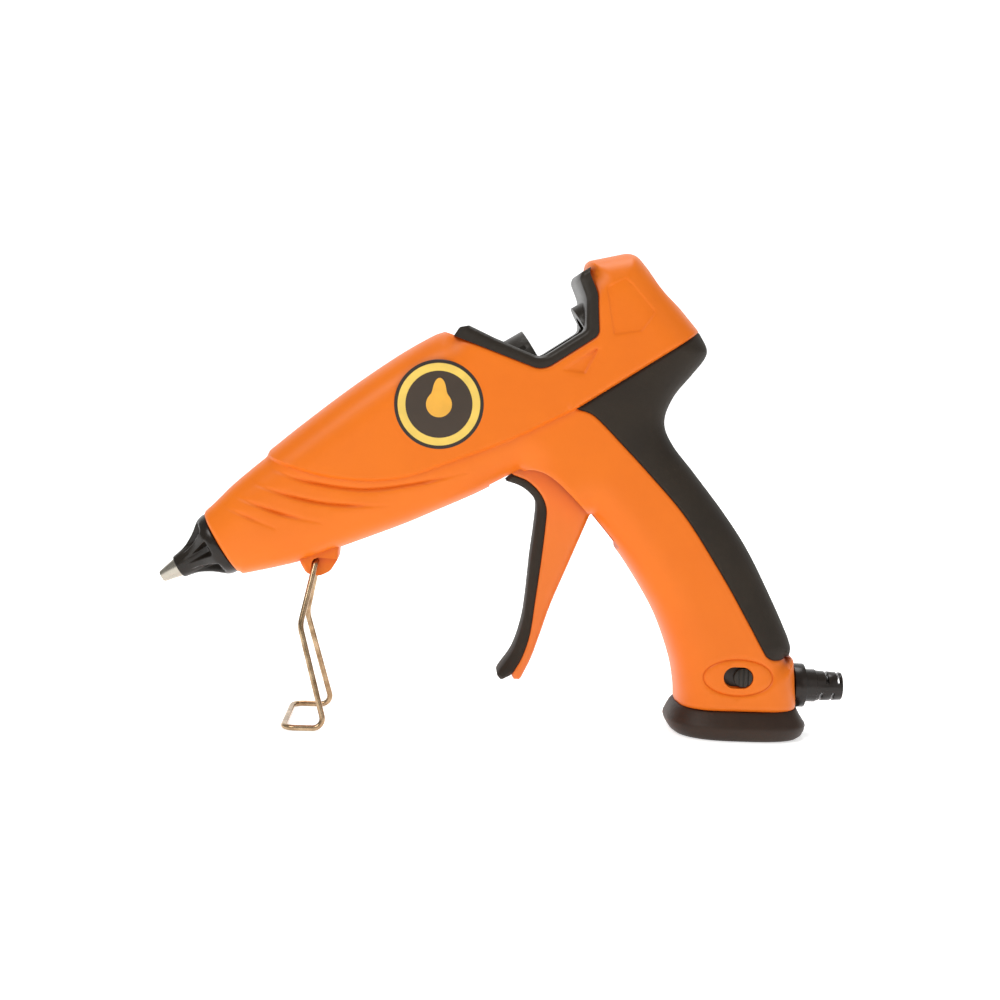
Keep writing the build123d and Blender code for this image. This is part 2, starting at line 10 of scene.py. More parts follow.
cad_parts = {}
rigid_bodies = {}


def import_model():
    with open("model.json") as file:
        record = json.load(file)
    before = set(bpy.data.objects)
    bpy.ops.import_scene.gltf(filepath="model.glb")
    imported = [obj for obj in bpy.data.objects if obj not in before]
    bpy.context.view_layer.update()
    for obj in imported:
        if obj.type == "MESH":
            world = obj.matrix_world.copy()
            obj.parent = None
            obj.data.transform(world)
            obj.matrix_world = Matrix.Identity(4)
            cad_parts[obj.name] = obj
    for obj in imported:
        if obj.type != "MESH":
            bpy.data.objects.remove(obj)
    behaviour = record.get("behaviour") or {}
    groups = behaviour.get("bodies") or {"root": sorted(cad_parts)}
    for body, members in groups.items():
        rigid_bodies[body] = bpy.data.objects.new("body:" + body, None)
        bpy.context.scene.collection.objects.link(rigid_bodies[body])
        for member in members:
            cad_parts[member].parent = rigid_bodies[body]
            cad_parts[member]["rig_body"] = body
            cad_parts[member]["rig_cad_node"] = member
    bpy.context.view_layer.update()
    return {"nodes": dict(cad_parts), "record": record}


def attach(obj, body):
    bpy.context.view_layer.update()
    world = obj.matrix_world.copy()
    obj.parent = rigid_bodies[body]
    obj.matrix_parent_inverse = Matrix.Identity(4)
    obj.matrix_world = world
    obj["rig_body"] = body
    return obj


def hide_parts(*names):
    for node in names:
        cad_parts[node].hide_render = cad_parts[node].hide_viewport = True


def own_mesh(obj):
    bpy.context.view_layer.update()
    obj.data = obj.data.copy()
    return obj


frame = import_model()


# ------------------------------------------------------------------ camera, floor and light
# A long-lens view of the left side from a little above, as in a product picture, with the camera rolled
# slightly. The floor runs up into a pale backdrop, and three large soft lamps light the gun.

MM = 0.001
lens_aim = Vector((-3.1, 0.0, 79.5)) * MM
lens_distance = 525 * MM
lens_height, lens_turn, lens_roll = math.radians(5.0), math.radians(-2.5), math.radians(2.2)

back = Vector((math.sin(lens_turn) * math.cos(lens_height), -math.cos(lens_turn) * math.cos(lens_height),
               math.sin(lens_height)))
level_right = Vector((math.cos(lens_turn), math.sin(lens_turn), 0))
level_up = back.cross(level_right).normalized()
right = level_right * math.cos(lens_roll) + level_up * math.sin(lens_roll)
up = level_up * math.cos(lens_roll) - level_right * math.sin(lens_roll)
camera = bpy.data.objects.new("camera", bpy.data.cameras.new("camera"))
camera.data.lens = 54
camera.data.sensor_width = 36
camera.data.clip_start = 0.01
turned = Matrix((right, up, back)).transposed().to_4x4()
camera.matrix_world = Matrix.Translation(lens_aim + back * lens_distance) @ turned
bpy.context.scene.collection.objects.link(camera)
bpy.context.scene.camera = camera


def mesh_object(name, points, faces, scale=MM):
    """New smooth object from an array of points in millimetres and a list or array of faces."""
    mesh = bpy.data.meshes.new(name)
    faces = faces.tolist() if isinstance(faces, np.ndarray) else faces
    mesh.from_pydata((np.asarray(points, float) * scale).tolist(), [], faces)
    mesh.validate()
    mesh.polygons.foreach_set("use_smooth", np.ones(len(mesh.polygons), bool))
    made = bpy.data.objects.new(name, mesh)
    bpy.context.scene.collection.objects.link(made)
    return made


def grid_faces(rows, columns, wrap):
    """Quads of a grid of rows x columns points; wrap joins the last column to the first."""
    r, c = np.meshgrid(np.arange(rows - 1), np.arange(columns if wrap else columns - 1), indexing="ij")
    after = (c + 1) % columns
    return np.stack([r * columns + c, r * columns + after, (r + 1) * columns + after,
                     (r + 1) * columns + c], -1).reshape(-1, 4)


def node_material(name, colour, roughness, metallic=0.0):
    """New material with its shader; colours are given as screen values from 0 to 255."""
    material = bpy.data.materials.new(name)
    material.use_nodes = True
    shader = material.node_tree.nodes["Principled BSDF"]
    shader.inputs["Base Color"].default_value = screen_colour(colour)
    shader.inputs["Roughness"].default_value = roughness
    shader.inputs["Metallic"].default_value = metallic
    return material, material.node_tree.nodes, material.node_tree.links, shader


def screen_colour(colour):
    """Linear colour of a screen colour: each channel is ((c + 0.055) / 1.055) to the power 2.4."""
    return tuple(((c / 255 + 0.055) / 1.055) ** 2.4 for c in colour) + (1.0,)


def speckle(nodes, links, scale, low, high, detail=3.0):
    """Colour or grey that wanders between two values with a noise on Object coordinates."""
    place = nodes.new("ShaderNodeTexCoord")
    noise = nodes.new("ShaderNodeTexNoise")
    noise.inputs["Scale"].default_value = scale
    noise.inputs["Detail"].default_value = detail
    links.new(place.outputs["Object"], noise.inputs["Vector"])
    ramp = nodes.new("ShaderNodeValToRGB")
    ramp.color_ramp.elements[0].position = 0.3
    ramp.color_ramp.elements[1].position = 0.7
    ramp.color_ramp.elements[0].color = low if isinstance(low, tuple) else (low, low, low, 1)
    ramp.color_ramp.elements[1].color = high if isinstance(high, tuple) else (high, high, high, 1)
    links.new(noise.outputs["Fac"], ramp.inputs["Fac"])
    return ramp.outputs["Color"]


def grain(nodes, links, shader, scale, strength, distance):
    """Fine moulded texture: a noise on Object coordinates drives the bump."""
    place = nodes.new("ShaderNodeTexCoord")
    noise = nodes.new("ShaderNodeTexNoise")
    noise.inputs["Scale"].default_value = scale
    noise.inputs["Detail"].default_value = 4.0
    bump = nodes.new("ShaderNodeBump")
    bump.inputs["Strength"].default_value = strength
    bump.inputs["Distance"].default_value = distance
    links.new(place.outputs["Object"], noise.inputs["Vector"])
    links.new(noise.outputs["Fac"], bump.inputs["Height"])
    links.new(bump.outputs["Normal"], shader.inputs["Normal"])


def sweep_floor():
    """Floor that curves up into a wall: height is 0 up to the bend, then a quarter circle, then straight
    up."""
    across = np.linspace(-4000, 4000, 9)
    bend, start = 1500.0, 1800.0
    angle = np.linspace(0, math.pi / 2, 25)
    y = np.concatenate([[-4000, -1000, 0], start + bend * np.sin(angle), [start + bend]])
    z = np.concatenate([[0, 0, 0], bend * (1 - np.cos(angle)), [5000]])
    points = np.stack(np.broadcast_arrays(across[None, :], y[:, None], z[:, None]), -1).reshape(-1, 3)
    return mesh_object("floor", points, grid_faces(len(y), len(across), False))


floor = sweep_floor()
material, nodes, links, shader = node_material("pale_floor", (250, 250, 250), 0.9)
links.new(speckle(nodes, links, 3, (0.93, 0.93, 0.93, 1), (0.96, 0.96, 0.96, 1)),
          shader.inputs["Base Color"])
shader.inputs["Emission Color"].default_value = (1, 1, 1, 1)
shader.inputs["Emission Strength"].default_value = 0.6
floor.data.materials.append(material)


def soft_lamp(name, place, size, power, colour):
    """Square area lamp that looks at the gun."""
    lamp = bpy.data.lights.new(name, "AREA")
    lamp.size = size
    lamp.energy = power
    lamp.color = colour
    made = bpy.data.objects.new(name, lamp)
    made.location = Vector(place)
    made.rotation_euler = (lens_aim - made.location).to_track_quat("-Z", "Y").to_euler()
    bpy.context.scene.collection.objects.link(made)


soft_lamp("key_lamp", (-0.9, -1.1, 1.3), 0.7, 12.5, (1.0, 0.985, 0.96))
soft_lamp("fill_lamp", (1.2, -1.2, 0.7), 1.2, 2.6, (1.0, 1.0, 1.0))
soft_lamp("top_lamp", (0.1, 0.3, 1.5), 0.8, 11, (1.0, 1.0, 1.0))
world = bpy.data.worlds.new("studio")
world.use_nodes = True
world.node_tree.nodes["Background"].inputs["Color"].default_value = (1, 1, 1, 1)
world.node_tree.nodes["Background"].inputs["Strength"].default_value = 0.36
bpy.context.scene.world = world
bpy.context.scene.view_settings.view_transform = "Standard"


# ------------------------------------------------------------------ shape of the moulded body
# The casing and the soft grip share one outer shape. Seen from the side it is one smooth outline; from
# there the half width rises over a round shoulder to the flat of the side, with a raised upper shell.

tilt = math.radians(32)
axis = np.array([math.cos(tilt), 0, math.sin(tilt)])
upward = np.array([-math.sin(tilt), 0, math.cos(tilt)])
front = np.array([-98.85, 0, 61.8])


def at(station, height=0.0):
    """Side view point at a distance along the barrel and a height off its axis."""
    point = front + axis * station + upward * height
    return point[0], point[2]


def smooth_line(points, step=0.8):
    """Even points along a Catmull-Rom curve: p(t) blends the four neighbours with cubic weights."""
    p = np.array(points, float)
    ends = np.vstack([2 * p[0] - p[1], p, 2 * p[-1] - p[-2]])
    a, b, c, d = ends[:-3], ends[1:-2], ends[2:-1], ends[3:]
    t = np.linspace(0, 1, 24, endpoint=False)[None, :, None]
    a, b, c, d = (q[:, None, :] for q in (a, b, c, d))
    line = 0.5 * (2 * b + (c - a) * t + (2 * a - 5 * b + 4 * c - d) * t ** 2
                  + (3 * b - a - 3 * c + d) * t ** 3)
    return even(np.vstack([line.reshape(-1, 2), p[-1:]]), step)


def even(line, step=0.8):
    """The same polyline with points at even distances."""
    run = np.concatenate([[0], np.cumsum(np.hypot(*np.diff(line, axis=0).T))])
    count = max(2, int(round(run[-1] / step)) + 1)
    where = np.linspace(0, run[-1], count)
    return np.stack([np.interp(where, run, line[:, 0]), np.interp(where, run, line[:, 1])], 1)


def rounded(corners, radii, step=0.6):
    """Open polyline with each inner corner turned into a circular arc of the given radius."""
    p = np.array(corners, float)
    out = [p[:1]]
    for before, here, after, radius in zip(p, p[1:], p[2:], radii):
        u, v = before - here, after - here
        u, v = u / np.hypot(*u), v / np.hypot(*v)
        half = math.acos(max(-1.0, min(1.0, float(u @ v)))) / 2
        reach = radius / math.tan(half)
        centre = here + (u + v) / np.hypot(*(u + v)) * radius / math.sin(half)
        a, b = here + u * reach - centre, here + v * reach - centre
        start = math.atan2(a[1], a[0])
        turn = (math.atan2(b[1], b[0]) - start + math.pi) % (2 * math.pi) - math.pi
        angle = start + turn * np.linspace(0, 1, 9)
        out.append(centre + radius * np.stack([np.cos(angle), np.sin(angle)], 1))
    out.append(p[-1:])
    return even(np.vstack(out), step)


underside = smooth_line([at(0, -12.2), (-90.4, 51.2), (-71.8, 56.0), (-58.4, 61.3), (-37.7, 69.7),
                         (-25.9, 75.1), (-11, 82.2), (3.0, 90.0)])
throat = smooth_line([(3.0, 90.0), (6.4, 91.2), (10.6, 90.6), (15.2, 87.9), (20.5, 83.1), (28.0, 75.6)])
handle_front = smooth_line([(28.0, 75.6), (38.3, 63.6), (46.6, 51.8), (53.4, 40.2), (58.9, 26.3),
                            (61.1, 16.6), (61.6, 10.5)])
base_line = even(np.array([(61.6, 10.5), (104.0, 10.5)]))
base_rear = rounded([(104.0, 10.5), (103.2, 19.0), (102.3, 28.0), (99.0, 28.1)], [40, 1.4])
grip_foot = rounded([(99.0, 28.1), (100.6, 28.4), (101.2, 31.8), (99.6, 36.0)], [1.0, 6.0])
grip_back = smooth_line([(99.6, 36.0), (94.4, 46.6), (84.8, 64.3), (76.0, 77.0), (64.2, 91.5),
                         (56.0, 101.3), (52.8, 109.0), (55.4, 117.4), (61.4, 125.3), (65.6, 131.0),
                         (66.2, 135.0), (63.0, 140.7)])
hump_rear = rounded([(63.0, 140.7), (62.2, 141.6), (39.4, 167.0), (23.6, 163.2), (22.9, 160.0)],
                    [1.0, 6.0, 2.0])
recess_line = rounded([(22.9, 160.0), (22.7, 158.5), (25.9, 151.4), (26.9, 137.9), (8.8, 125.6),
                       (-20.0, 135.5), (-24.6, 137.2)], [3.0, 9.0, 3.0, 7.0, 6.0])
upper_top = smooth_line([(-24.6, 137.2), (-29.0, 135.3), (-40.4, 128.2), (-55.9, 116.9), (-72.0, 103.9),
                         (-83.6, 94.0)])
nose_top = smooth_line([(-83.6, 94.0), (-84.4, 92.0), (-88.6, 88.3), (-95.8, 81.8), (-101.5, 75.8),
                        at(0, 12.2)])
front_face = even(np.array([at(0, 12.2), at(0, -12.2)]))
step_line = smooth_line([(-92.0, 98.0), (-83.4, 92.5), (-73.3, 89.2), (-61.7, 86.7), (-47.8, 86.0),
                         (-34.8, 88.0), (-19.5, 93.8), (-0.5, 101.7), (20.8, 112.7)])
grip_edge = smooth_line([(20.8, 112.7), (26.1, 111.0), (30.5, 107.4), (35.8, 102.2), (46.6, 91.4),
                         (59.8, 77.0), (73.3, 57.4), (82.4, 42.6), (88.4, 32.4), (90.4, 29.6), (93.4, 28.3),
                         (99.0, 28.1)])
beak_line = even(np.array([(63.0, 140.7), (20.8, 112.7)]))

round_edges = [underside, handle_front, base_rear[:-4], grip_foot, grip_back, hump_rear, upper_top,
               nose_top]


def distance(points, lines):
    """Shortest distance from each side view point to any of the lines, segment by segment."""
    best = np.full(len(points), 1e9)
    for line in lines:
        a, b = line[:-1], line[1:]
        span = b - a
        length = (span ** 2).sum(1) + 1e-12
        for part in np.array_split(np.arange(len(points)), max(1, len(points) * len(a) // 4000000)):
            to = points[part, None, :] - a[None]
            t = np.clip((to * span[None]).sum(2) / length[None], 0, 1)
            gap = to - t[..., None] * span[None]
            best[part] = np.minimum(best[part], np.sqrt((gap ** 2).sum(2).min(1)))
    return best


def inside(points, outline):
    """Even-odd test: a point is inside if a level ray from it crosses the outline an odd number of times."""
    a, b = outline, np.roll(outline, -1, axis=0)
    x, z = points[:, 0, None], points[:, 1, None]
    crosses = (a[:, 1] > z) != (b[:, 1] > z)
    slope = (b[:, 0] - a[:, 0]) / np.where(b[:, 1] == a[:, 1], 1e-12, b[:, 1] - a[:, 1])
    return (crosses & (x < a[:, 0] + (z - a[:, 1]) * slope)).sum(1) % 2 == 1


def soft_step(value, width):
    """Rises from 0 to 1 around zero as 3t^2 - 2t^3."""
    t = np.clip(value / width + 0.5, 0, 1)
    return t * t * (3 - 2 * t)


upper_shape = np.vstack([step_line, beak_line[::-1], [(90, 150), (90, 195), (-120, 195), (-120, 98)]])


def flat_width(points):
    """Half width of the flat side: a taper along the barrel, plus the raised upper shell above its step."""
    station = (points[:, 0] - front[0]) * axis[0] + (points[:, 1] - front[2]) * axis[2]
    core = np.interp(station, [0, 14, 30, 50, 74, 126, 220], [12.5, 14.5, 16.1, 17.0, 17.5, 17.6, 17.4])
    upper = np.interp(station, [20, 40, 65, 90, 184], [17.3, 18.1, 18.7, 19.05, 19.0])
    side = np.where(inside(points, upper_shape), 1, -1) * distance(points, [step_line, beak_line])
    return core + (upper - core) * soft_step(side - 0.3, 1.3)


def shoulder(depth, radius=15.0, power=2.7):
    """Round shoulder: 0 at the edge, 1 from the radius inwards, (1 - (1 - d/r)^n)^(1/n) between."""
    t = np.clip(1 - depth / radius, 0, 1)
    return (1 - t ** power) ** (1 / power)


groove_lines = [smooth_line(line) for line in (
    [(-80.1, 88.4), (-69.3, 84.9), (-50.0, 82.9), (-30.8, 85.8), (-16.3, 89.8)],
    [(-86.6, 83.2), (-73.5, 79.4), (-59.8, 77.4), (-42.0, 77.5)],
    [(-93.4, 78.8), (-79.0, 73.9), (-64.5, 71.2)],
    [(-96.9, 75.1), (-88.6, 71.8), (-80.3, 68.8)])]
field_line = rounded([(38.0, 155.2), (35.3, 157.4), (29.1, 153.8), (32.2, 138.0), (41.5, 139.6),
                      (46.1, 146.2), (38.0, 155.2)], [0.6, 0.6, 0.6, 0.6, 0.6])
wedge_line = rounded([(20.0, 125.2), (15.1, 125.5), (27.4, 133.8), (23.0, 124.9), (20.0, 125.2)],
                     [0.3, 0.3, 0.5])
turn = np.linspace(0, 2 * np.pi, 97)
switch_ring = np.stack([80.6 + 12.0 * np.cos(turn), 22.4 + 6.3 * np.sin(turn)], 1)
slot_line = rounded([(80.6, 18.85), (85.6, 18.85), (85.6, 25.95), (75.6, 25.95), (75.6, 18.85),
                     (80.6, 18.85)], [3.5, 3.5, 3.5, 3.5])


def casing_width(points):
    """Half width of the orange casing: the side, less its shoulders, edge rounding, grooves and fields."""
    width = flat_width(points)
    for line in groove_lines:
        ends = np.minimum(*(np.hypot(*(points - end).T) for end in (line[0], line[-1])))
        fade = np.clip(ends / 14, 0.25, 1)
        width -= 0.85 * fade * np.exp(-(distance(points, [line]) / 0.6) ** 2)
    field = np.where(inside(points, field_line), 1, -1) * distance(points, [field_line])
    width -= 0.35 * soft_step(field, 0.7)
    dimple = np.where(inside(points, wedge_line), 1, -1) * distance(points, [wedge_line])
    width -= 0.8 * soft_step(dimple, 1.0) * np.clip((points[:, 0] - 13) / 12, 0, 1)
    width *= shoulder(distance(points, round_edges))
    cut_edges = distance(points, [throat, base_line, recess_line, front_face])
    width -= 1.0 * np.clip(1 - cut_edges / 1.4, 0, 1) ** 2
    return width - 0.5 * np.clip(1 - distance(points, [grip_edge, beak_line]) / 0.8, 0, 1) ** 2


def left_switch(points):
    """Engraved oval and the slot of the slide switch, on the left side only."""
    cut = 0.45 * np.exp(-(distance(points, [switch_ring]) / 0.33) ** 2)
    slot = np.where(inside(points, slot_line), 1, -1) * distance(points, [slot_line])
    return cut + 2.2 * soft_step(slot, 0.35)


def grip_width(points):
    """Half width of the soft grip: the same body, rolled over along its edge against the casing."""
    width = flat_width(points) * shoulder(distance(points, round_edges))
    return width - 0.7 * np.clip(1 - distance(points, [grip_edge, beak_line]) / 0.9, 0, 1) ** 2


def ring_points(outline, depth):
    """Points a given depth inside a closed outline, moved along its normals."""
    ahead, behind = np.roll(outline, -1, axis=0), np.roll(outline, 1, axis=0)
    along = ahead - behind
    along /= np.hypot(*along.T)[:, None] + 1e-12
    normal = np.stack([-along[:, 1], along[:, 0]], 1)
    area = ((outline[:, 0] * ahead[:, 1]) - (ahead[:, 0] * outline[:, 1])).sum()
    moved = outline + normal * depth * (1 if area > 0 else -1)
    closed = np.vstack([outline, outline[:1]])
    keep = (distance(moved, [closed]) > depth * 0.97) & inside(moved, outline)
    return moved[keep]


shoulder_rings = (0.05, 0.15, 0.35, 0.7, 1.2, 2.0, 3.0)


def moulding(name, outline, width, left_cut=None, features=(), grid=1.3, rings=shoulder_rings):
    """Closed body about its parting plane: side view points (x, z) stand at y = -+width(x, z), and left_cut
    is taken off the left side only. The points are rings inside the outline, rows beside each feature line,
    and a triangular grid."""
    closed = np.vstack([outline, outline[:1]])
    low, high = outline.min(0), outline.max(0)
    gx, gz = np.meshgrid(np.arange(low[0], high[0], grid), np.arange(low[1], high[1], grid * 0.866))
    gx = gx + (np.arange(gx.shape[0]) % 2)[:, None] * grid / 2
    mesh_points = np.stack([gx.ravel(), gz.ravel()], 1)
    mesh_points = mesh_points[inside(mesh_points, outline)]
    mesh_points = mesh_points[distance(mesh_points, [closed]) > rings[-1] + grid * 0.5]
    extra = []
    for line, offsets in features:
        along = np.gradient(line, axis=0)
        normal = np.stack([-along[:, 1], along[:, 0]], 1) / (np.hypot(*along.T)[:, None] + 1e-12)
        near = distance(mesh_points, [line]) > max(offsets) + grid * 0.4
        mesh_points = mesh_points[near]
        extra += [line + normal * offset for offset in offsets]
    if extra:
        extra = np.vstack(extra)
        extra = extra[inside(extra, outline)]
        extra = extra[distance(extra, [closed]) > 0.4]
        mesh_points = np.vstack([mesh_points, extra])
    inner = [ring_points(outline, depth) for depth in rings]
    flat = np.vstack([outline, *inner, mesh_points])
    count = len(outline)
    edge = [(k, (k + 1) % count) for k in range(count)]
    verts, _, faces, *_ = delaunay_2d_cdt([Vector(p) for p in flat.tolist()], edge, [list(range(count))], 1,
                                          1e-4)
    flat = np.array([tuple(v) for v in verts])
    half = np.maximum(width(flat), 0.0)
    left = half - (left_cut(flat) if left_cut else 0.0)
    triangles = np.array([f for f in faces if len(f) == 3])
    total = len(flat)
    points = np.vstack([np.stack([flat[:, 0], -left, flat[:, 1]], 1),
                        np.stack([flat[:, 0], half, flat[:, 1]], 1)])
    rim = np.concatenate([triangles[:, [0, 1]], triangles[:, [1, 2]], triangles[:, [2, 0]]])
    key = np.sort(rim, 1)
    _, index, times = np.unique(key, axis=0, return_index=True, return_counts=True)
    rim = rim[index[times == 1]]
    wall = np.stack([rim[:, 1], rim[:, 0], rim[:, 0] + total, rim[:, 1] + total], 1)
    faces = triangles.tolist() + (triangles[:, ::-1] + total).tolist() + wall.tolist()
    made = mesh_object(name, points, faces)
    tidy(made)
    return made


def tidy(made, merge=1e-6):
    """Merges doubles and turns all faces outwards."""
    shape = bmesh.new()
    shape.from_mesh(made.data)
    bmesh.ops.remove_doubles(shape, verts=shape.verts, dist=merge)
    bmesh.ops.dissolve_degenerate(shape, edges=shape.edges, dist=merge)
    bmesh.ops.recalc_face_normals(shape, faces=shape.faces)
    shape.to_mesh(made.data)
    shape.free()


def keep_side(made, side):
    """Cuts a closed body at the parting plane, keeps one side and closes the cut."""
    shape = bmesh.new()
    shape.from_mesh(made.data)
    cut = bmesh.ops.bisect_plane(shape, geom=shape.verts[:] + shape.edges[:] + shape.faces[:], dist=1e-7,
                                 plane_co=(0, 0, 0), plane_no=(0, side, 0), clear_inner=True)
    rim = [e for e in cut["geom_cut"] if isinstance(e, bmesh.types.BMEdge)]
    bmesh.ops.triangle_fill(shape, use_beauty=True, edges=rim, normal=(0, -side, 0))
    bmesh.ops.recalc_face_normals(shape, faces=shape.faces)
    shape.to_mesh(made.data)
    shape.free()


def cut_away(made, tool):
    """Takes a closed tool out of a body with an exact boolean, then drops the tool."""
    cutter = made.modifiers.new("cut", "BOOLEAN")
    cutter.operation = "DIFFERENCE"
    cutter.solver = "EXACT"
    cutter.object = tool
    apply_modifiers(made)
    bpy.data.objects.remove(tool)


def apply_modifiers(made):
    """Gives a piece the mesh that its modifiers make of it."""
    bpy.context.view_layer.update()
    finished = bpy.data.meshes.new_from_object(made.evaluated_get(bpy.context.evaluated_depsgraph_get()))
    made.modifiers.clear()
    made.data = finished


def coat(made, material):
    """Gives a piece one material."""
    made.data.materials.clear()
    made.data.materials.append(material)


def twin(made, name):
    """Copy of a piece with a mesh of its own."""
    copy = made.copy()
    copy.data = made.data.copy()
    copy.name = name
    bpy.context.scene.collection.objects.link(copy)
    return copy


def crease(made, degrees=38):
    """Smooth shading with sharp edges where the faces turn by more than the angle."""
    made.data.polygons.foreach_set("use_smooth", np.ones(len(made.data.polygons), bool))
    made.data.set_sharp_from_angle(angle=math.radians(degrees))


def lathe(name, profile, turns=48):
    """Surface of revolution about the barrel axis: points (station, radius) turned through a full circle."""
    station, radius = np.array(profile, float).T
    angle = np.linspace(0, 2 * np.pi, turns, endpoint=False)
    s, a = np.meshgrid(np.arange(len(station)), angle, indexing="ij")
    centre = front + station[s][..., None] * axis
    around = np.cos(a)[..., None] * np.array([0, 1, 0]) + np.sin(a)[..., None] * upward
    points = (centre + radius[s][..., None] * around).reshape(-1, 3)
    made = mesh_object(name, points, grid_faces(len(station), turns, True))
    tidy(made)
    return made


# ------------------------------------------------------------------ orange casing, two halves
# Injection moulded nylon in two halves that meet in the middle plane, held by screws from the right. The
# upper shell stands proud of the nose and handle; four arcs are engraved on the nose.

casing_outline = np.vstack([line[:-1] for line in (underside, throat, handle_front, base_line, base_rear,
                                                   grip_edge[::-1], beak_line[::-1], hump_rear, recess_line,
                                                   upper_top, nose_top, front_face)])
whole_outline = np.vstack([line[:-1] for line in (
    underside, throat, handle_front, base_line, base_rear, grip_foot, grip_back, hump_rear, recess_line,
    upper_top, nose_top, front_face)])
wall_thickness = 2.4
slot_half = 9.3
guide_seat, stick_trough, rear_seat, rear_flange = 11.55, 7.6, 9.85, 11.6
well_radius = 3.2
narrow = (-0.6, -0.2, 0.2, 0.6)
casing_features = [(line, (-1.2, -0.8, -0.4, 0.0, 0.4, 0.8, 1.2)) for line in groove_lines]
casing_features += [(step_line, (-0.5, -0.2, 0.15, 0.5, 0.9)), (field_line, narrow), (wedge_line, narrow)]
casing_features += [(switch_ring, (-0.6, -0.3, 0.0, 0.3, 0.6)), (slot_line, (-0.2, -0.05, 0.1, 0.25))]


def cavity_body():
    """Inside of the casing: the same body, a wall thickness smaller."""
    inner = ring_points(whole_outline, 4.6)[::3]

    def inner_width(points):
        return np.maximum(flat_width(points) * shoulder(distance(points, round_edges)) - wall_thickness, 1)

    return moulding("cavity", inner, inner_width, grid=5.0, rings=(1.5,))


def slot_tool():
    """Opening that the trigger swings in, through the throat and up the front of the handle."""
    corners = np.array([(-8.0, 86.0), (-4.0, 80.0), (24.0, 70.0), (38.0, 64.0), (40.5, 72.0), (38.5, 90.0),
                        (24.0, 104.0), (-6.0, 102.0)])
    return moulding("slot", corners, lambda p: np.full(len(p), slot_half), grid=8.0, rings=(2.0,))


def bore_tool():
    """Round openings on the barrel axis: nozzle hole, front collar, stick trough and rear collar."""
    return [lathe("bore", [(-5, 0), (-5, 7.2), (6, 7.2), (6, 0)]),
            lathe("bore", [(112, 0), (112, guide_seat), (126.4, guide_seat), (126.4, stick_trough),
                           (145, stick_trough), (145, rear_seat), (169.3, rear_seat), (169.3, rear_flange),
                           (190, rear_flange), (190, 0)])]


def cross_pin(name, x, z, radius, y0, y1, turns=32):
    """Closed cylinder along Y."""
    angle = np.linspace(0, 2 * np.pi, turns, endpoint=False)
    rings = [(y0, 0.0), (y0, radius), (y1, radius), (y1, 0.0)]
    points = [np.stack([x + r * np.cos(angle), np.full(turns, y), z + r * np.sin(angle)], 1)
              for y, r in rings]
    made = mesh_object(name, np.vstack(points), grid_faces(len(rings), turns, True))
    tidy(made)
    return made


def painted_groove_shade(nodes, links, shader, colour, reach, painted_shade_tint):
    """Paints shade into a colour in grooves and seams: ambient occlusion over a short reach mixes in a darker
    painted shade tint.
    """
    near = nodes.new("ShaderNodeAmbientOcclusion")
    near.inputs["Distance"].default_value = reach
    mix = nodes.new("ShaderNodeMix")
    mix.data_type = "RGBA"
    # painted shade: this dark red-orange is mixed in where ambient occlusion finds grooves and seams
    mix.inputs["A"].default_value = painted_shade_tint
    links.new(near.outputs["AO"], mix.inputs["Factor"])
    links.new(colour, mix.inputs["B"])
    links.new(mix.outputs["Result"], shader.inputs["Base Color"])


orange, nodes, links, shader = node_material("orange_moulding", (224, 110, 9), 0.42)
shade = speckle(nodes, links, 35, screen_colour((222, 108, 8)), screen_colour((227, 113, 10)))
# painted shade: a dark red-orange is mixed into the casing's orange in its grooves and seams
painted_groove_shade(nodes, links, shader, shade, 0.0025, screen_colour((190, 50, 4)))
grain(nodes, links, shader, 900, 0.12, 0.0002)
shader.inputs["Specular IOR Level"].default_value = 0.3

casing = moulding("casing_left", casing_outline, casing_width, left_switch, casing_features)
for tool in [cavity_body(), slot_tool(), *bore_tool()]:
    cut_away(casing, tool)
screw_places = [(-59.0, 66.0), (-71.5, 97.2), (-27.6, 127.0), (24.1, 119.8), (32.2, 159.6), (52.0, 58.0),
                (73.0, 40.0), (66.5, 17.5)]
right_casing = twin(casing, "casing_right")
for x, z in screw_places:
    cut_away(right_casing, cross_pin("well", x, z, well_radius, 10.0, 30))
for piece, side in ((casing, -1), (right_casing, 1)):
    keep_side(piece, side)
    crease(piece)
    coat(piece, orange)
    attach(piece, "root")
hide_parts("left_casing")
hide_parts("right_casing")


# ------------------------------------------------------------------ lug of the wire stand
# A rounded block moulded under the nose, half of it on each casing. The stand's wire ends sit in its hole,
# and a pocket on each side stops the wire and lets it fold back.

lug_half, pocket_depth = 8.2, 3.0
hinge_x, hinge_z = -66.1, 56.7
lug_outline = np.vstack([rounded([(-72.6, 62.0), (-71.4, 56.0), (-69.4, 52.6), (-65.2, 51.2), (-61.2, 53.2),
                                  (-58.7, 57.4), (-58.0, 66.0)], [3, 3, 4, 4, 3]), [(-65, 68.0)]])


def lug_width(points):
    """Half width of the lug, with its rim rounded over."""
    rim = distance(points, [lug_outline])
    return lug_half - 1.1 * np.clip(1 - rim / 1.1, 0, 1) ** 2


def pocket_tool(side):
    """Room for the wire from its stop back under the barrel: a wedge 3 mm deep, open downwards."""
    corners = rounded([(-68.8, 36), (-67.4, 56.9), (-65.6, 58.2), (-46, 57.0), (-42, 40), (-68.8, 36)],
                      [1.2, 1.2, 2, 4])
    made = moulding("pocket", corners[:-1], lambda p: np.full(len(p), 1.8), grid=6.0, rings=(0.8,))
    made.data.transform(Matrix.Translation((0, side * (lug_half - pocket_depth + 1.8) * MM, 0)))
    return made


lug = moulding("stand_lug", lug_outline, lug_width, grid=1.5, rings=(0.15, 0.35, 0.6, 0.85, 1.1))
for tool in (pocket_tool(-1), pocket_tool(1), cross_pin("hole", hinge_x, hinge_z, 1.06, -12, 12)):
    cut_away(lug, tool)
crease(lug)
coat(lug, orange)
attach(lug, "root")


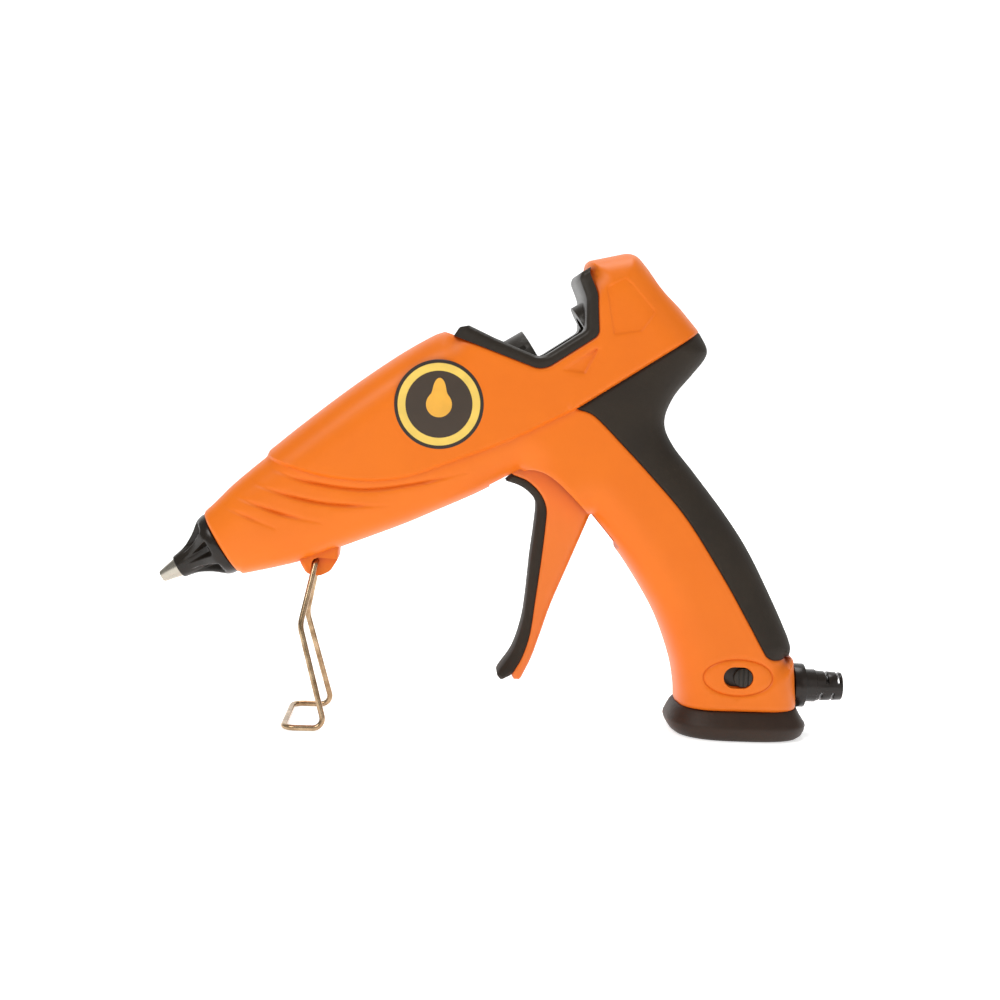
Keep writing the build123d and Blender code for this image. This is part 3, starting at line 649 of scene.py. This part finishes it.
# ------------------------------------------------------------------ soft grip, two halves
# Thermoplastic rubber moulded over the back of the handle and the thumb web. It lies flush with the nylon
# and its edge rolls over into a fine groove against it.

grip_outline = np.vstack([line[:-1] for line in (grip_foot, grip_back, beak_line, grip_edge)])


def moulded(name, colour, other_colour, roughness, scale, strength):
    """Material of a moulded part: a slightly mottled colour and a fine skin."""
    made, nodes, links, shader = node_material(name, colour, roughness)
    links.new(speckle(nodes, links, 60, screen_colour(colour), screen_colour(other_colour)),
              shader.inputs["Base Color"])
    grain(nodes, links, shader, scale, strength, 0.0003)
    shader.inputs["Specular IOR Level"].default_value = 0.32
    return made


rubber = moulded("soft_grip_rubber", (34, 26, 17), (42, 33, 22), 0.7, 1300, 0.25)
grip = moulding("grip_left", grip_outline, grip_width)
cut_away(grip, cavity_body())
right_grip = twin(grip, "grip_right")
for piece, side, node in ((grip, -1, "grip_pad_left"), (right_grip, 1, "grip_pad_right")):
    keep_side(piece, side)
    crease(piece)
    coat(piece, rubber)
    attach(piece, "root")
    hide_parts(node)


# ------------------------------------------------------------------ recess liner
# Black nylon liner that stands round the recess where the stick can be seen and freed. Its long edges are
# rolled over, and its two ends are rounded.

liner_outer = rounded([(23.6, 160.4), (23.1, 158.6), (26.2, 151.6), (27.2, 137.7), (8.8, 125.2),
                       (-21.4, 135.7)], [3.0, 9.0, 3.2, 7.2])
liner_inner = rounded([(-16.4, 139.3), (-8.0, 135.6), (8.4, 129.3), (23.0, 139.3), (22.6, 150.0),
                       (19.9, 156.3), (20.5, 158.4), (23.6, 160.4)], [9, 6.0, 2.2, 8.0, 3.0, 1.5])
liner_outline = np.vstack([liner_outer[:-1], rounded([(-21.4, 135.7), (-19.6, 138.6), (-16.4, 139.3)],
                                                     [1.2])[:-1], liner_inner[:-1]])


def liner_width(points):
    """Half width of the liner, with a crowned edge."""
    return 19.0 - 1.5 * np.clip(1 - distance(points, [liner_inner, liner_outline[-2:]]) / 1.6, 0, 1) ** 2


nylon = moulded("black_nylon", (34, 28, 21), (42, 35, 27), 0.36, 1500, 0.15)
liner = moulding("liner", liner_outline, liner_width, grid=0.9, rings=(0.15, 0.4, 0.75, 1.15))
cut_away(liner, lathe("bore", [(104, 0), (104, guide_seat), (126.6, guide_seat), (126.6, stick_trough),
                               (144.8, stick_trough), (144.8, rear_seat), (175, rear_seat), (175, 0)]))
crease(liner)
coat(liner, nylon)
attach(liner, "root")
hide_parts("recess_trim")


# ------------------------------------------------------------------ rubber foot
# A block of rubber pushed on under the handle. It flares out to a ridge above the bench, then rounds in to
# its flat sole, and it is wider and rounder behind.

def foot_body():
    """Egg-shaped rings |x/a|^n + |y/b|^n = 1 from the sole up. Each row is a height, with the front, the rear
    and the half width of its ring."""
    rows = np.array([(0.0, 66, 99, 13), (0.0, 62.4, 103.8, 17.6), (0.35, 61.2, 105.2, 18.9),
                     (1.3, 59.9, 106.4, 19.9), (3.0, 58.7, 107.2, 20.6), (4.6, 58.2, 107.5, 20.9),
                     (5.4, 58.3, 107.2, 20.8), (6.2, 58.6, 106.6, 20.2), (8.0, 59.4, 105.4, 18.8),
                     (9.6, 60.2, 104.6, 17.8), (10.4, 60.9, 104.2, 17.1), (10.4, 66, 99, 13)])
    z, x0, x1, half = rows.T[:, :, None]
    angle = np.linspace(0, 2 * np.pi, 120, endpoint=False)[None]
    c, s = np.cos(angle), np.sin(angle)
    power = 2 / 2.9
    x = (x0 + x1) / 2 + (x1 - x0) / 2 * np.sign(c) * np.abs(c) ** power
    y = half * np.sign(s) * np.abs(s) ** power * (1 + 0.035 * c - 0.035)
    rings = np.stack(np.broadcast_arrays(x, y, z), -1)
    centres = np.array([[[82.5, 0, 0.0]], [[82.5, 0, 10.4]]]).repeat(angle.shape[1], 1)
    points = np.concatenate([centres[:1], rings, centres[1:]])
    return mesh_object("foot", points.reshape(-1, 3), grid_faces(len(points), angle.shape[1], True))


foot_rubber = moulded("foot_rubber", (40, 26, 17), (52, 36, 24), 0.5, 900, 0.3)
foot = foot_body()
tidy(foot)
crease(foot, 50)
coat(foot, foot_rubber)
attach(foot, "root")
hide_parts("rubber_foot")


# ------------------------------------------------------------------ trigger and its soft face
# A long nylon lever on a steel pin, with a fork inside that pushes the feed carriage. A rubber strip is
# moulded down its front, over the whole width, and curls under the tip.

face_line = smooth_line([(-1.4, 86.7), (2.9, 85.4), (6.3, 83.3), (8.9, 80.4), (9.6, 77.5), (9.1, 70.0),
                         (8.1, 59.9), (7.1, 45.7), (5.9, 36.6), (3.1, 27.4), (-1.5, 20.2)], 0.6)
seam_line = smooth_line([(2.8, 18.7), (6.4, 25.5), (8.8, 33.7), (10.2, 45.8), (11.7, 60.0), (12.7, 72.0),
                         (12.7, 78.0), (10.5, 82.8), (6.2, 86.9), (1.3, 88.9)], 0.6)
tip_line = rounded([(-1.5, 20.2), (-2.2, 18.6), (-0.6, 16.9), (2.8, 18.7)], [0.8, 0.8])
back_line = smooth_line([(6.5, 17.9), (9.7, 24.9), (12.4, 33.2), (16.0, 44.7), (21.7, 59.3), (28.0, 75.6)],
                        0.6)
toe_line = rounded([(2.8, 18.7), (4.6, 15.8), (6.5, 17.9)], [1.1])
top_line = even(np.array([(28.0, 75.6), (30.3, 82.2), (8.0, 101.0), (-3.4, 100.4), (-5.0, 95.6),
                          (-3.0, 91.3), (1.3, 88.9)]))
lever_half, fork_inner, fork_outer = 8.0, 10.2, 12.4
lever_outline = np.vstack([line[:-1] for line in (top_line, seam_line[::-1], toe_line, back_line)])
strip_top = even(np.array([(1.3, 88.9), (-1.4, 86.7)]))
strip_outline = np.vstack([line[:-1] for line in (face_line, tip_line, seam_line, strip_top)])


def lever_width(points):
    """Half width of the lever: a rounded back edge, a fine roll at the rubber seam."""
    width = lever_half * shoulder(distance(points, [back_line, toe_line]), 4.0, 2.4) ** 0.35
    return width - 0.4 * np.clip(1 - distance(points, [seam_line]) / 0.7, 0, 1) ** 2


def strip_width(points):
    """Half width of the soft strip: its front edge is well rounded."""
    width = 7.9 - 2.0 * np.clip(1 - distance(points, [face_line, tip_line]) / 2.4, 0, 1) ** 2.2
    return width - 0.45 * np.clip(1 - distance(points, [seam_line]) / 0.7, 0, 1) ** 2


def fork_arm():
    """Fork outline about the pivot: it leans back by half its travel and is slotted for the carriage pin."""
    pivot = np.array(at(102, -22))
    lean = math.radians(9.5)
    out = (math.sin(lean) * axis + math.cos(lean) * upward)[[0, 2]]
    wide = (math.cos(lean) * axis - math.sin(lean) * upward)[[0, 2]]
    shape = [(0, -3.6), (16, -4.6), (25, -4.6), (25, -2.2), (18.8, -2.2), (18.8, 2.2), (25, 2.2), (25, 4.6),
             (16, 4.6), (0, 3.6)]
    return even(np.array([pivot + out * a + wide * b for a, b in shape + shape[:1]]), 1.2)[:-1], pivot


trigger_orange, nodes, links, shader = node_material("orange_lever", (222, 109, 12), 0.42)
shade = speckle(nodes, links, 35, screen_colour((219, 106, 11)), screen_colour((225, 112, 14)))
# painted shade: a dark red-orange is mixed into the lever's orange in its grooves and seams
painted_groove_shade(nodes, links, shader, shade, 0.0025, screen_colour((190, 50, 4)))
grain(nodes, links, shader, 900, 0.12, 0.0002)
lever = moulding("trigger_lever", lever_outline, lever_width, grid=1.6,
                 rings=(0.1, 0.3, 0.7, 1.3, 2.2, 3.3))
arm_outline, pivot = fork_arm()
fork = moulding("trigger_fork", arm_outline, lambda p: np.full(len(p), fork_outer), grid=3.0, rings=(0.6,))
between = np.array([(-60.0, 60), (60, 60), (60, 160), (-60, 160)])
gap = moulding("gap", between, lambda p: np.full(len(p), fork_inner), grid=40.0, rings=(5.0,))
cut_away(fork, gap)
hub = cross_pin("trigger_hub", *pivot, 3.6, -fork_outer, fork_outer, 40)
for piece in (lever, fork, hub):
    crease(piece)
    coat(piece, trigger_orange)
    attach(piece, "trigger")
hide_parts("trigger")
strip = moulding("trigger_strip", strip_outline, strip_width, grid=1.2, rings=(0.15, 0.4, 0.8, 1.3))
crease(strip)
coat(strip, rubber)
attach(strip, "trigger")
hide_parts("trigger_pad")


# ------------------------------------------------------------------ nozzle and silicone boot
# A turned aluminium nozzle screws into the melt chamber. The silicone boot grips its neck, flares over a
# ring of fins that shed heat, and ends in a flange against the casing's face.

metal, nodes, links, shader = node_material("bright_aluminium", (176, 170, 158), 0.24, 1.0)
links.new(speckle(nodes, links, 240, 0.2, 0.34), shader.inputs["Roughness"])
grain(nodes, links, shader, 1800, 0.1, 0.0001)
nozzle = lathe("nozzle_tip", [(8.5, 0.9), (8.5, 4.0), (-2.5, 4.0), (-2.5, 5.4), (-8.5, 5.4), (-8.5, 3.5),
                              (-17.3, 3.5), (-17.9, 3.45), (-24.3, 2.1), (-24.65, 1.9), (-24.75, 1.65),
                              (-24.75, 0.9), (-23.5, 0.8), (8.5, 0.8)], 64)
crease(nozzle, 30)
coat(nozzle, metal)
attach(nozzle, "root")
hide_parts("nozzle")


def boot_body():
    """Radius over (station, angle): core(station) + fin(station) * wave(angle). The core is a cone with a
    flange, and seven flat-topped waves round it make the fins."""
    station = np.array([3.4, 3.4, -0.06, -0.06, -0.5, -1.2, -2.6, -3.5, -3.9, -4.1, -4.4, -5.2, -6.4, -7.8,
                        -9.2, -10.8, -12.0, -13.4, -15.0, -16.8, -17.6, -17.9, -17.9])
    core = np.array([3.4, 7.1, 7.1, 11.1, 11.45, 11.5, 11.4, 11.1, 10.4, 8.0, 6.9, 6.4, 6.0, 5.7, 5.5, 5.3,
                     5.15, 4.9, 4.6, 4.3, 4.2, 4.0, 3.55])
    fin = np.array([0, 0, 0, 0, 0, 0, 0, 0, 0.5, 2.8, 3.7, 3.6, 3.0, 2.2, 1.5, 0.85, 0.35, 0.1, 0, 0, 0, 0,
                    0])
    turns, fins = 192, 7
    angle = np.linspace(0, 2 * np.pi, turns, endpoint=False)
    wave = np.clip(0.5 + 1.1 * np.cos(fins * angle + 0.6), 0, 1)
    wave = wave * wave * (3 - 2 * wave)
    radius = core[:, None] + fin[:, None] * wave[None]
    centre = front + station[:, None, None] * axis
    around = np.cos(angle)[None, :, None] * np.array([0, 1, 0]) + np.sin(angle)[None, :, None] * upward
    points = (centre + radius[..., None] * around).reshape(-1, 3)
    points = np.vstack([points, points[:turns]])
    made = mesh_object("boot", points, grid_faces(len(station) + 1, turns, True))
    tidy(made)
    smooth = made.modifiers.new("smooth", "SUBSURF")
    smooth.levels = smooth.render_levels = 1
    apply_modifiers(made)
    return made


silicone = moulded("boot_silicone", (24, 19, 14), (32, 26, 19), 0.26, 700, 0.12)
boot = boot_body()
coat(boot, silicone)
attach(boot, "root")
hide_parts("nozzle_boot")


# ------------------------------------------------------------------ wire stand
# One length of nickel plated steel wire, bent over pegs: its ends turn into the lug's hole, two legs splay
# out and back, and the loop at the bottom lies on the bench.

def bent_wire(name, corners, radii, radius, turns=20):
    """Circle carried along straight runs and arcs: each ring stands square to the path, and is turned as
    little as can be from the one before."""
    p = np.array(corners, float)
    path = [p[:1]]
    for before, here, after, bend in zip(p, p[1:], p[2:], radii):
        u, v = before - here, after - here
        u, v = u / np.linalg.norm(u), v / np.linalg.norm(v)
        half = math.acos(float(u @ v)) / 2
        centre = here + (u + v) / np.linalg.norm(u + v) * bend / math.sin(half)
        a = here + u * bend / math.tan(half) - centre
        side = -u - (-u @ a) * a / (a @ a)
        side = side / np.linalg.norm(side) * bend
        angle = np.linspace(0, math.pi - 2 * half, 13)[:, None]
        path.append(centre + a * np.cos(angle) + side * np.sin(angle))
    path.append(p[-1:])
    path = np.vstack(path)
    along = np.gradient(path, axis=0)
    along /= np.linalg.norm(along, axis=1)[:, None]
    normal = [np.cross(along[0], [1, 0, 0])]
    for direction in along:
        turned = normal[-1] - (normal[-1] @ direction) * direction
        normal.append(turned / np.linalg.norm(turned))
    normal = np.array(normal[1:])
    binormal = np.cross(along, normal)
    angle = np.linspace(0, 2 * np.pi, turns, endpoint=False)
    cosine, sine = np.cos(angle)[:, None], np.sin(angle)[:, None]
    rings = path[:, None] + radius * (cosine * normal[:, None] + sine * binormal[:, None])
    rings = np.concatenate([path[:1, None].repeat(turns, 1), rings, path[-1:, None].repeat(turns, 1)])
    made = mesh_object(name, rings.reshape(-1, 3), grid_faces(len(rings), turns, True))
    tidy(made)
    return made


wire, nodes, links, shader = node_material("nickel_wire", (168, 142, 112), 0.26, 1.0)
links.new(speckle(nodes, links, 300, screen_colour((138, 112, 82)), screen_colour((196, 172, 140))),
          shader.inputs["Base Color"])
grain(nodes, links, shader, 2500, 0.08, 0.0001)
wire_radius = 1.0
half_wire = [(hinge_x, 3.0, hinge_z), (hinge_x, 7.3, hinge_z), (-70.3, 14.4, 35.4),
             (-60.6, 18.4, wire_radius), (-74.9, 18.8, wire_radius)]
corners = [(x, -y, z) for x, y, z in half_wire] + half_wire[::-1]
bends = [2.0, 9.0, 3.2, 4.0]
stand = bent_wire("stand_wire", corners, bends + bends[::-1], wire_radius)
crease(stand)
coat(stand, wire)
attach(stand, "stand")
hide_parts("wire_stand")


# ------------------------------------------------------------------ badge
# A round printed label stuck on the left side of the upper shell: a plain glue drop inside rings. Each ink
# is a thin disc laid over the one before.

badge_centre = np.array([-25.6, 112.6])


def label_disc(name, rings, thickness, outline=None):
    """Thin disc that follows the casing's side: rings of points about the centre, lifted off the surface."""
    turns = 96
    angle = np.linspace(0, 2 * np.pi, turns, endpoint=False)
    reach = np.ones_like(angle) if outline is None else outline(angle)
    flat = np.concatenate([badge_centre + r * reach[:, None] * np.stack([np.cos(angle), np.sin(angle)], 1)
                           for r in rings])
    lift = np.repeat(np.array([thickness] * (len(rings) - 1) + [0.0]), turns)
    y = -flat_width(flat) - lift
    return mesh_object(name, np.stack([flat[:, 0], y, flat[:, 1]], 1), grid_faces(len(rings), turns, True))


def drop_shape(angle):
    """Glue drop, point up: a circle whose radius grows sharply towards the top."""
    up_turn = np.cos(angle - np.pi / 2)
    return 0.72 + 0.75 * np.clip(up_turn, 0, 1) ** 14


badge_layers = [("badge_disc", [0, 5, 10, 13, 14.9, 15.0], 0.10, None, (40, 30, 20)),
                ("badge_ring", [0, 5, 10, 13.8, 13.9], 0.16, None, (236, 200, 92)),
                ("badge_field", [0, 4, 8, 11.2, 11.3], 0.22, None, (58, 44, 30)),
                ("badge_drop", [0, 3, 6, 6.2], 0.28, drop_shape, (240, 176, 60))]
for number, (name, rings, thickness, outline, colour) in enumerate(badge_layers):
    ink, nodes, links, shader = node_material(name + "_print", colour, 0.35)
    links.new(speckle(nodes, links, 150, screen_colour(colour),
                      screen_colour(tuple(0.93 * c for c in colour))), shader.inputs["Base Color"])
    layer = label_disc(name, rings, thickness, outline)
    tidy(layer)
    crease(layer)
    coat(layer, ink)
    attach(layer, "root")
    if number == 0:
        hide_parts("badge")


# ------------------------------------------------------------------ parts that keep their designed shape
# The stick guides, switch, gland, screws and everything inside are plain turned, pressed or moulded parts.
# Each gets its own finish. The collars, slider, gland and carriage get a copy with softened edges.

def chamfered(node, name, width, body="root"):
    """Copy of a designed part with its flat faces joined and its sharp edges softened."""
    made = frame["nodes"][node].copy()
    made.data = made.data.copy()
    made.name = name
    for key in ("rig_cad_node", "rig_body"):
        if key in made:
            del made[key]
    made.parent = None
    bpy.context.scene.collection.objects.link(made)
    shape = bmesh.new()
    shape.from_mesh(made.data)
    bmesh.ops.remove_doubles(shape, verts=shape.verts, dist=2e-6)
    bmesh.ops.dissolve_limit(shape, angle_limit=math.radians(2), verts=shape.verts, edges=shape.edges)
    shape.to_mesh(made.data)
    shape.free()
    soft = made.modifiers.new("soften", "BEVEL")
    soft.width = width * MM
    soft.segments = 2
    soft.limit_method = "ANGLE"
    soft.angle_limit = math.radians(40)
    soft.use_clamp_overlap = True
    apply_modifiers(made)
    crease(made, 35)
    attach(made, body)
    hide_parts(node)
    return made


gland_black = moulded("gland_black", (26, 21, 17), (36, 29, 24), 0.25, 900, 0.12)
steel, nodes, links, shader = node_material("bright_steel", (190, 184, 172), 0.28, 1.0)
links.new(speckle(nodes, links, 200, 0.22, 0.38), shader.inputs["Roughness"])
cast, nodes, links, shader = node_material("cast_aluminium", (176, 174, 168), 0.5, 1.0)
links.new(speckle(nodes, links, 150, 0.4, 0.6), shader.inputs["Roughness"])
grain(nodes, links, shader, 1200, 0.3, 0.0002)
white_mould = moulded("insulator", (205, 196, 176), (214, 206, 188), 0.55, 800, 0.1)
sleeve_silicone = moulded("sleeve_silicone", (178, 74, 50), (188, 84, 58), 0.5, 700, 0.1)
ceramic = moulded("heater_ceramic", (196, 150, 90), (206, 162, 104), 0.35, 500, 0.08)
lead_cover = moulded("lead_cover", (206, 200, 186), (216, 210, 198), 0.45, 900, 0.08)
finishes = {"steel": steel, "aluminium": cast, "insulator": white_mould, "silicone": sleeve_silicone,
            "ceramic": ceramic, "lead_cover": lead_cover, "black_plastic": nylon, "soft_grip": rubber,
            "orange_plastic": orange, "label": rubber}
for row in frame["record"]["subparts"]:
    coat(frame["nodes"][row["node"]], finishes[row["material_slot"]])

for node, name, width, body, finish, slot in (
        ("front_stick_guide", "front_collar", 0.25, "root", nylon, "black_plastic"),
        ("rear_stick_guide", "rear_collar", 0.25, "root", nylon, "black_plastic"),
        ("switch_knob", "switch_slider", 0.15, "knob", nylon, "black_plastic"),
        ("strain_relief", "cord_gland", 0.3, "root", gland_black, "black_plastic"),
        ("feed_carriage", "carriage", 0.2, "carriage", nylon, "black_plastic")):
    made = chamfered(node, name, width, body)
    coat(made, finish)


# ------------------------------------------------------------------ return spring
# Steel compression spring round the stick, between the feed sleeve and the carriage. In the real gun it
# shortens as the trigger is squeezed; here it is one coil of fixed length on the root body.

def coil(name, start, length, radius, wire_radius, turns, sides=12):
    """Helix about the barrel axis: station grows evenly with the angle, closed at both ends."""
    steps = int(turns * 40)
    angle = np.linspace(0, 2 * np.pi * turns, steps)
    station = start + length * np.linspace(0, 1, steps)
    spoke = np.cos(angle)[:, None] * np.array([0, 1, 0]) + np.sin(angle)[:, None] * upward
    centre = front + station[:, None] * axis + radius * spoke
    around = np.linspace(0, 2 * np.pi, sides, endpoint=False)
    ring = np.cos(around)[None, :, None] * spoke[:, None] + np.sin(around)[None, :, None] * axis
    points = centre[:, None] + wire_radius * ring
    points = np.concatenate([centre[:1, None].repeat(sides, 1), points, centre[-1:, None].repeat(sides, 1)])
    made = mesh_object(name, points.reshape(-1, 3), grid_faces(len(points), sides, True))
    tidy(made)
    return made


spring = coil("spring", start=86.7, length=10.4, radius=8.2, wire_radius=0.4, turns=3.25)
coat(spring, steel)
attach(spring, "root")
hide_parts("return_spring")
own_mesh(spring)
